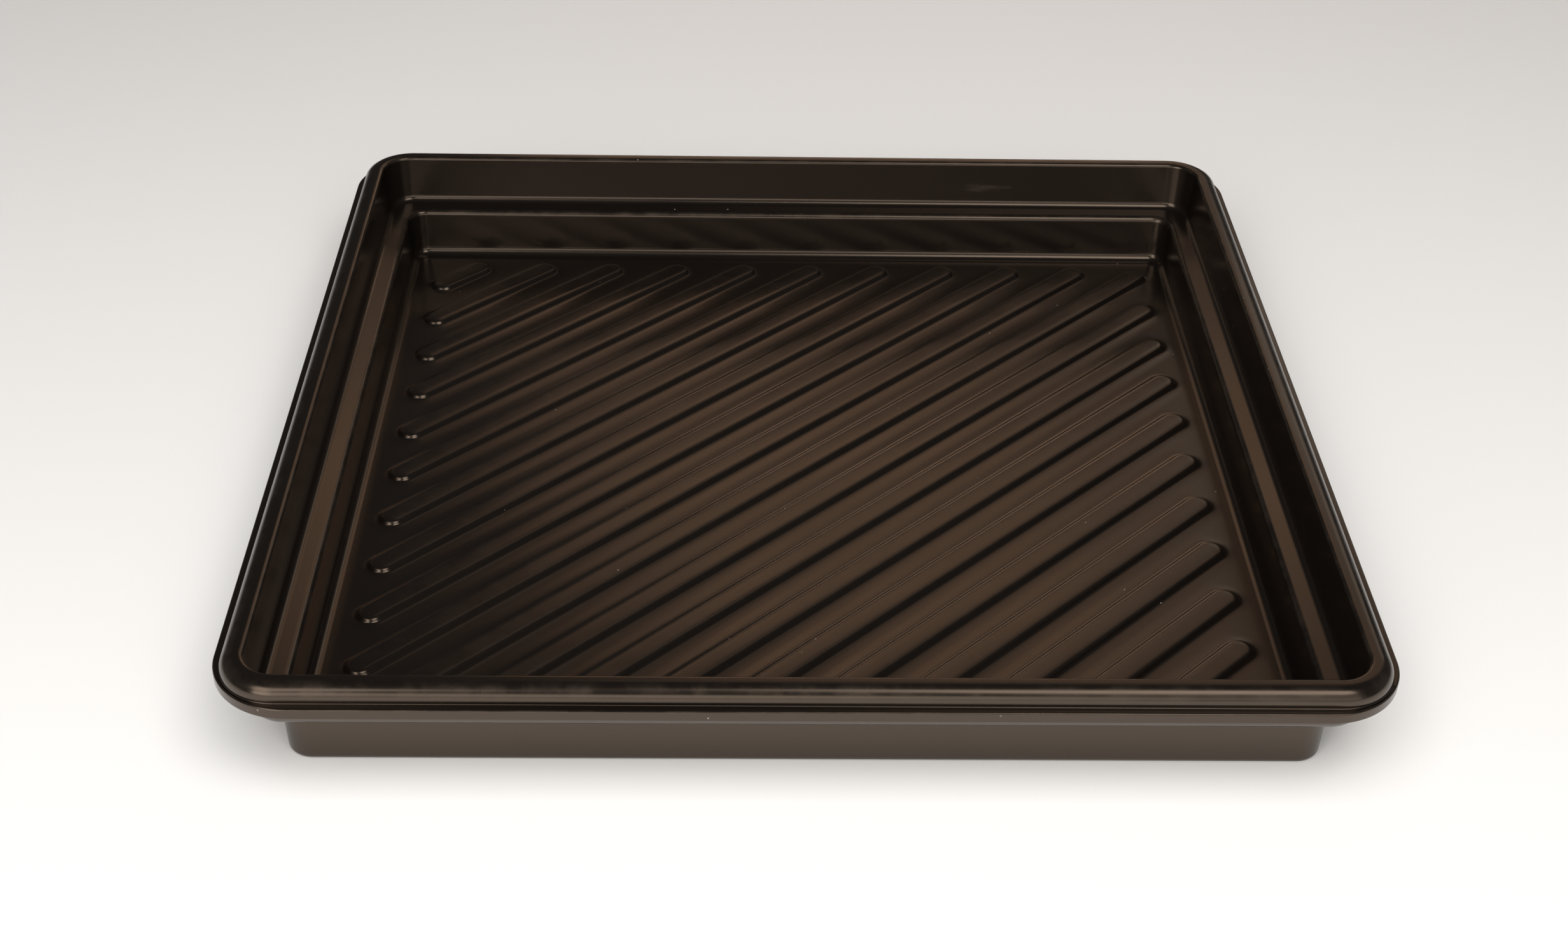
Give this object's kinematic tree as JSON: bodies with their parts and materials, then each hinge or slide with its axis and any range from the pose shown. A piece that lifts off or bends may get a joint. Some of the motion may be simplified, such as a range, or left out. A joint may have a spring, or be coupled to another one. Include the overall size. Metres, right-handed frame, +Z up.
{
  "type": "paint tray",
  "caption": "Square one-piece plastic paint tray with a flat floor of raised diagonal ribs, a ledge round its inner wall and a beaded rim with a skirt.",
  "frame": {"origin": "centre of the underside of the base, on the surface that the tray stands on", "axes": "+X to the right along the front rim, +Y towards the back rim, +Z up out of the open top"},
  "size_m": [0.5688, 0.5688, 0.066],
  "materials": {
    "tray_plastic": "near-black warm brown moulded plastic, satin, with a very fine grain"
  },
  "bodies": {
    "root": {"tray": "tray_plastic"}
  },
  "joints": []
}
